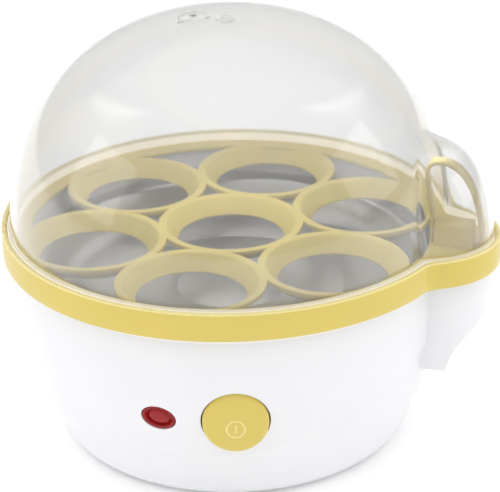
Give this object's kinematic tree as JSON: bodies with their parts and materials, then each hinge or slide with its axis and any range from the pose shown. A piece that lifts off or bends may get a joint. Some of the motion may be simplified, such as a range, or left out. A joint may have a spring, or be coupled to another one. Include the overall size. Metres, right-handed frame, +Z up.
{
  "type": "electric egg cooker",
  "caption": "Round electric egg cooker: clear domed steam lid with a side ear, lift-out egg tray with a hand loop, heated water dish and a push-button base.",
  "frame": {"origin": "middle of the overall box in plan, on the plane that the rubber feet stand on", "axes": "+Z up, -Y is the front with the power button, +X towards the side ear"},
  "size_m": [0.1721, 0.1598, 0.1516],
  "materials": {
    "clear_lid": "clear, slightly milky moulded plastic, glossy",
    "yellow_plastic": "pastel yellow moulded plastic, satin to glossy",
    "white_plastic": "white moulded plastic, soft gloss",
    "dish_steel": "satin pressed stainless steel",
    "silicone_rubber": "pale silicone",
    "element_sheath": "heat-tinted steel sheath",
    "black_plastic": "matte",
    "grey_plastic": "matte",
    "brass": "plain",
    "steel": "plated",
    "spring_steel": "drawn wire",
    "red_lens": "translucent red plastic, glossy",
    "lamp_glass": "clear",
    "ceramic": "unglazed",
    "black_rubber": "matte",
    "brown_insulation": "heat-proof sleeve",
    "blue_insulation": "heat-proof sleeve"
  },
  "bodies": {
    "lid": {"lid_dome": "clear_lid"},
    "tray": {"egg_tray": "yellow_plastic", "tray_handle": "yellow_plastic"},
    "base": {"base_housing": "white_plastic", "ear_grip": "white_plastic", "heating_dish": "dish_steel", "dish_seal": "silicone_rubber", "heating_element": "element_sheath", "thermostat": "black_plastic", "thermal_fuse": "brass", "dish_stud": "steel", "clamp_strap": "steel", "strap_nut": "brass", "button_spring": "spring_steel", "switch_plate": "grey_plastic", "switch_body": "black_plastic", "indicator_lens": "red_lens", "indicator_lamp": "lamp_glass", "lamp_holder": "white_plastic", "terminal_block": "ceramic", "cord_grommet": "black_rubber", "lead_live": "brown_insulation", "lead_neutral": "blue_insulation", "lead_switch": "brown_insulation", "bottom_cover": "white_plastic", "cover_screw_1": "steel", "rubber_foot_1": "black_rubber", "cover_screw_2": "steel", "rubber_foot_2": "black_rubber", "cover_screw_3": "steel", "rubber_foot_3": "black_rubber", "cover_screw_4": "steel", "rubber_foot_4": "black_rubber"},
    "button": {"power_button": "yellow_plastic", "button_stem": "grey_plastic"}
  },
  "joints": [
    {"name": "tray_lift", "type": "slide", "parent": "base", "child": "tray", "axis": [0, 0, 1], "range_m": [0, 0.09]},
    {"name": "lid_lift", "type": "slide", "parent": "tray", "child": "lid", "axis": [0, 0, 1], "range_m": [0, 0.12]},
    {"name": "button_press", "type": "slide", "parent": "base", "child": "button", "axis": [0, 1, 0], "range_m": [0, 0.003], "stiffness_N_per_m": 400, "springref_m": -0.001, "deforming": ["button_spring"]}
  ]
}
